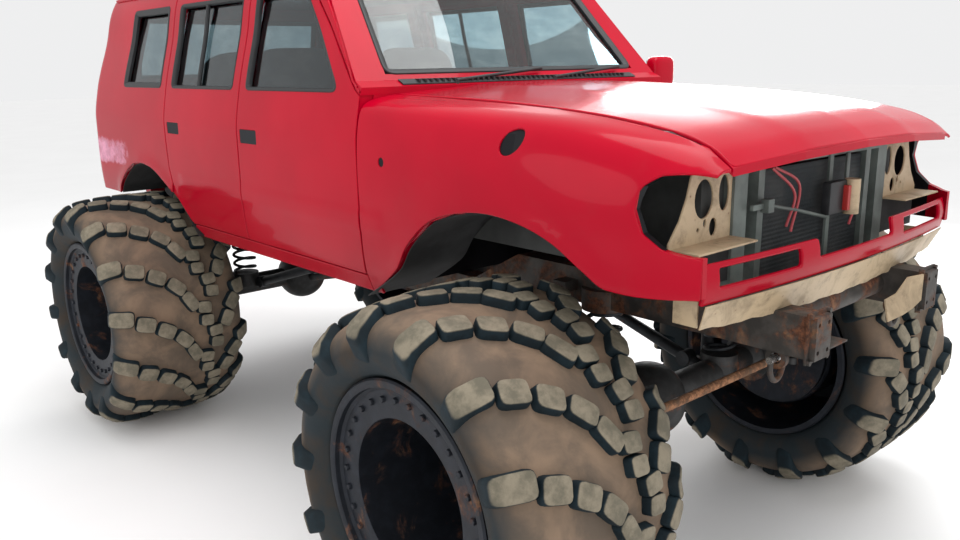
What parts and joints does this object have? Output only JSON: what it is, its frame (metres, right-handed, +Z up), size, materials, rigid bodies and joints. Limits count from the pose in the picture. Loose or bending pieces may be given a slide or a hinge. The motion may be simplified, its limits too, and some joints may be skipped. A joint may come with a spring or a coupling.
{
  "type": "lifted sport utility vehicle",
  "caption": "Lifted sport utility vehicle on very large soft lugged tyres, front stripped of bumper, lamps and grille, with hinged doors, hood and tailgates, steering and rolling wheels.",
  "frame": {"origin": "middle of the vehicle's footprint, on the ground", "axes": "+Z up, the vehicle faces -Y, +X is its left side"},
  "size_m": [2.724, 4.4987, 2.388],
  "materials": {
    "body_paint": "gloss red paint",
    "glass": "tinted, reflective",
    "pale_panel": "stained pale primer with rust spots",
    "dark_paint": "dull dark paint",
    "radiator_core": "dark matt core",
    "rusty_steel": "rusty dark paint",
    "cast_metal": "dirty black",
    "dark_steel": "dusty black",
    "tie_rod_steel": "brown rust",
    "tyre_rubber": "dusty, matt",
    "rim_steel": "dark paint with rust",
    "seat_cloth": "woven",
    "black_plastic": "grained",
    "black_trim": "satin",
    "lamp_lens": "ribbed lens"
  },
  "bodies": {
    "chassis": {"body_shell": "body_paint", "floor_pan": "body_paint", "wheelhouses": "body_paint", "roof": "body_paint", "wings": "body_paint", "fixed_glass": "glass", "valance": "body_paint", "front_panels": "pale_panel", "radiator_support": "dark_paint", "inner_wings": "dark_paint", "radiator": "radiator_core", "chassis_rails": "rusty_steel", "cross_members": "rusty_steel", "engine": "cast_metal", "gearbox_and_shafts": "cast_metal", "axles": "cast_metal", "suspension": "dark_steel", "seats": "seat_cloth", "dashboard": "black_plastic", "steering_wheel": "black_plastic", "wipers": "black_trim", "tail_lamps": "lamp_lens"},
    "hood": {"hood": "body_paint"},
    "front_door_left": {"front_door_left": "body_paint", "front_door_glass_left": "glass", "mirror_left": "black_plastic"},
    "front_door_right": {"front_door_right": "body_paint", "front_door_glass_right": "glass"},
    "rear_door_left": {"rear_door_left": "body_paint", "rear_door_glass_left": "glass"},
    "rear_door_right": {"rear_door_right": "body_paint", "rear_door_glass_right": "glass"},
    "tailgate_upper": {"tailgate_upper": "body_paint", "tailgate_glass": "glass"},
    "tailgate_lower": {"tailgate_lower": "body_paint"},
    "knuckle_left": {"knuckle_left": "cast_metal"},
    "knuckle_right": {"knuckle_right": "cast_metal"},
    "tie_rod": {"tie_rod": "tie_rod_steel"},
    "wheel_front_left": {"tyre_front_left": "tyre_rubber", "rim_front_left": "rim_steel"},
    "wheel_rear_left": {"tyre_rear_left": "tyre_rubber", "rim_rear_left": "rim_steel"},
    "wheel_front_right": {"tyre_front_right": "tyre_rubber", "rim_front_right": "rim_steel"},
    "wheel_rear_right": {"tyre_rear_right": "tyre_rubber", "rim_rear_right": "rim_steel"}
  },
  "joints": [
    {"name": "steering_left", "type": "hinge", "parent": "chassis", "child": "knuckle_left", "pos_m": [0.64, -1.425, 0.63], "axis": [0, 0, 1], "range_deg": [-25, 25]},
    {"name": "steering_right", "type": "hinge", "parent": "chassis", "child": "knuckle_right", "pos_m": [-0.64, -1.425, 0.63], "axis": [0, 0, 1], "range_deg": [-25, 25]},
    {"name": "tie_rod_turn", "type": "hinge", "parent": "knuckle_left", "child": "tie_rod", "pos_m": [0.64, -1.625, 0.7], "axis": [0, 0, 1], "range_deg": [-25, 25]},
    {"name": "wheel_front_left_spin", "type": "hinge", "parent": "knuckle_left", "child": "wheel_front_left", "pos_m": [1.022, -1.425, 0.63], "axis": [1, 0, 0], "continuous": true},
    {"name": "wheel_front_right_spin", "type": "hinge", "parent": "knuckle_right", "child": "wheel_front_right", "pos_m": [-1.022, -1.425, 0.63], "axis": [1, 0, 0], "continuous": true},
    {"name": "wheel_rear_left_spin", "type": "hinge", "parent": "chassis", "child": "wheel_rear_left", "pos_m": [1.022, 1.425, 0.63], "axis": [1, 0, 0], "continuous": true},
    {"name": "wheel_rear_right_spin", "type": "hinge", "parent": "chassis", "child": "wheel_rear_right", "pos_m": [-1.022, 1.425, 0.63], "axis": [1, 0, 0], "continuous": true},
    {"name": "front_door_left_hinge", "type": "hinge", "parent": "chassis", "child": "front_door_left", "pos_m": [0.93, -0.685, 1.5], "axis": [0, 0, -1], "range_deg": [0, 65]},
    {"name": "rear_door_left_hinge", "type": "hinge", "parent": "chassis", "child": "rear_door_left", "pos_m": [0.93, 0.2725, 1.5], "axis": [0, 0, -1], "range_deg": [0, 65]},
    {"name": "front_door_right_hinge", "type": "hinge", "parent": "chassis", "child": "front_door_right", "pos_m": [-0.93, -0.685, 1.5], "axis": [0, 0, 1], "range_deg": [0, 65]},
    {"name": "rear_door_right_hinge", "type": "hinge", "parent": "chassis", "child": "rear_door_right", "pos_m": [-0.93, 0.2725, 1.5], "axis": [0, 0, 1], "range_deg": [0, 65]},
    {"name": "hood_hinge", "type": "hinge", "parent": "chassis", "child": "hood", "pos_m": [0, -0.695, 1.852], "axis": [-1, 0, 0], "range_deg": [0, 60]},
    {"name": "tailgate_upper_hinge", "type": "hinge", "parent": "chassis", "child": "tailgate_upper", "pos_m": [0, 2.1, 2.335], "axis": [1, 0, 0], "range_deg": [0, 85]},
    {"name": "tailgate_lower_hinge", "type": "hinge", "parent": "chassis", "child": "tailgate_lower", "pos_m": [0, 2.244, 1.33], "axis": [-1, 0, 0], "range_deg": [0, 90]}
  ],
  "couplings": [
    {"joint": "steering_right", "follows": "steering_left", "ratio": 1},
    {"joint": "tie_rod_turn", "follows": "steering_left", "ratio": -1}
  ]
}
